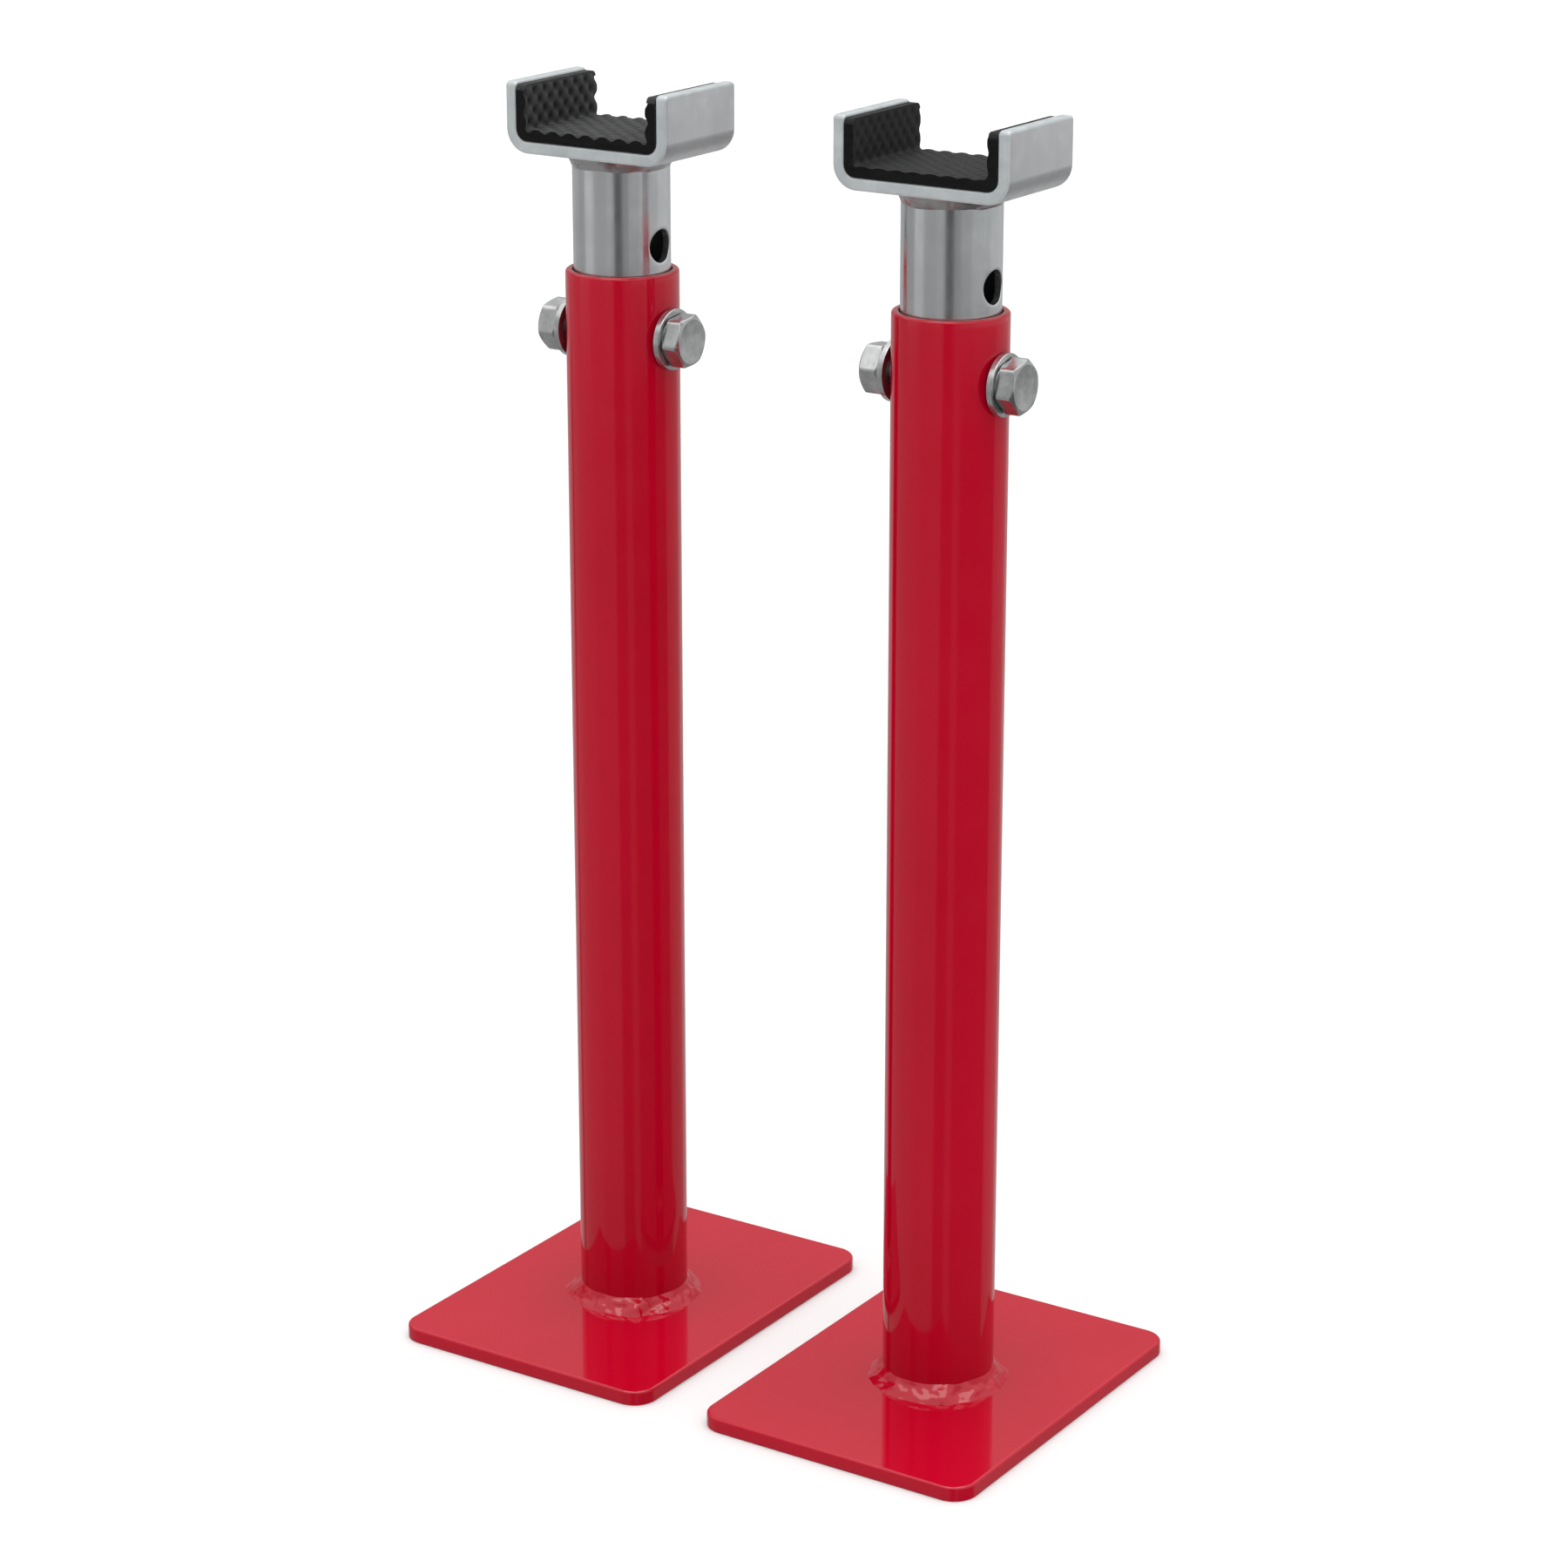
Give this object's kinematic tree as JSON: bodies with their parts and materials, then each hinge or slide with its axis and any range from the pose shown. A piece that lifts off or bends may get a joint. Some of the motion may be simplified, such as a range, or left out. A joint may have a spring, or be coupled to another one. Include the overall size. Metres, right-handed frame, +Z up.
{
  "type": "axle jack stands",
  "caption": "Pair of tall red tube axle stands on flat base plates, with height-adjustable pinned posts and rubber-lined U-shaped saddles.",
  "frame": {"origin": "on the floor, midway between the two columns", "axes": "+X along the through bolts towards their heads, +Y along the saddles' channels, +Z up"},
  "size_m": [0.271, 0.165, 0.5125],
  "materials": {
    "red_paint": "glossy red powder coat on steel",
    "zinc_plate": "bright zinc plated steel tube and bar",
    "zinc_weld": "plated weld bead with a little heat tint",
    "zinc_fastener": "zinc plated fasteners",
    "black_rubber": "matt black rubber with a moulded grip pattern"
  },
  "bodies": {
    "left_stand": {"left_base_plate": "red_paint", "left_base_weld": "red_paint", "left_column": "red_paint"},
    "left_post": {"left_post_tube": "zinc_plate", "left_saddle_weld": "zinc_weld", "left_saddle": "zinc_plate", "left_saddle_liner": "black_rubber"},
    "left_head_washer": {"left_bolt_washer": "zinc_fastener"},
    "left_pin_bolt": {"left_bolt": "zinc_fastener"},
    "left_tail_washer": {"left_nut_washer": "zinc_fastener"},
    "left_pin_nut": {"left_nut": "zinc_fastener"},
    "right_stand": {"right_base_plate": "red_paint", "right_base_weld": "red_paint", "right_column": "red_paint"},
    "right_post": {"right_post_tube": "zinc_plate", "right_saddle_weld": "zinc_weld", "right_saddle": "zinc_plate", "right_saddle_liner": "black_rubber"},
    "right_head_washer": {"right_bolt_washer": "zinc_fastener"},
    "right_pin_bolt": {"right_bolt": "zinc_fastener"},
    "right_tail_washer": {"right_nut_washer": "zinc_fastener"},
    "right_pin_nut": {"right_nut": "zinc_fastener"}
  },
  "joints": [
    {"name": "right_stand_shift", "type": "slide", "parent": "left_stand", "child": "right_stand", "axis": [1, 0, 0], "range_m": [0, 0.6]},
    {"name": "left_post_height", "type": "slide", "parent": "left_stand", "child": "left_post", "axis": [0, 0, 1], "range_m": [-0.036, 0.18]},
    {"name": "left_bolt_draw", "type": "slide", "parent": "left_stand", "child": "left_head_washer", "axis": [1, 0, 0], "range_m": [0, 0.055]},
    {"name": "left_bolt_turn", "type": "hinge", "parent": "left_head_washer", "child": "left_pin_bolt", "pos_m": [-0.0745, 0, 0.4145], "axis": [1, 0, 0], "continuous": true},
    {"name": "left_nut_travel", "type": "slide", "parent": "left_stand", "child": "left_tail_washer", "axis": [-1, 0, 0], "range_m": [0, 0.0105]},
    {"name": "left_nut_turn", "type": "hinge", "parent": "left_tail_washer", "child": "left_pin_nut", "pos_m": [-0.0745, 0, 0.4145], "axis": [-1, 0, 0], "range_deg": [0, 2160]},
    {"name": "right_post_height", "type": "slide", "parent": "right_stand", "child": "right_post", "axis": [0, 0, 1], "range_m": [-0.036, 0.18]},
    {"name": "right_bolt_draw", "type": "slide", "parent": "right_stand", "child": "right_head_washer", "axis": [1, 0, 0], "range_m": [0, 0.055]},
    {"name": "right_bolt_turn", "type": "hinge", "parent": "right_head_washer", "child": "right_pin_bolt", "pos_m": [0.0745, 0, 0.4145], "axis": [1, 0, 0], "continuous": true},
    {"name": "right_nut_travel", "type": "slide", "parent": "right_stand", "child": "right_tail_washer", "axis": [-1, 0, 0], "range_m": [0, 0.0105]},
    {"name": "right_nut_turn", "type": "hinge", "parent": "right_tail_washer", "child": "right_pin_nut", "pos_m": [0.0745, 0, 0.4145], "axis": [-1, 0, 0], "range_deg": [0, 2160]}
  ],
  "couplings": [
    {"joint": "left_nut_travel", "follows": "left_nut_turn", "m_per_rad": 0.00027852},
    {"joint": "right_nut_travel", "follows": "right_nut_turn", "m_per_rad": 0.00027852}
  ]
}
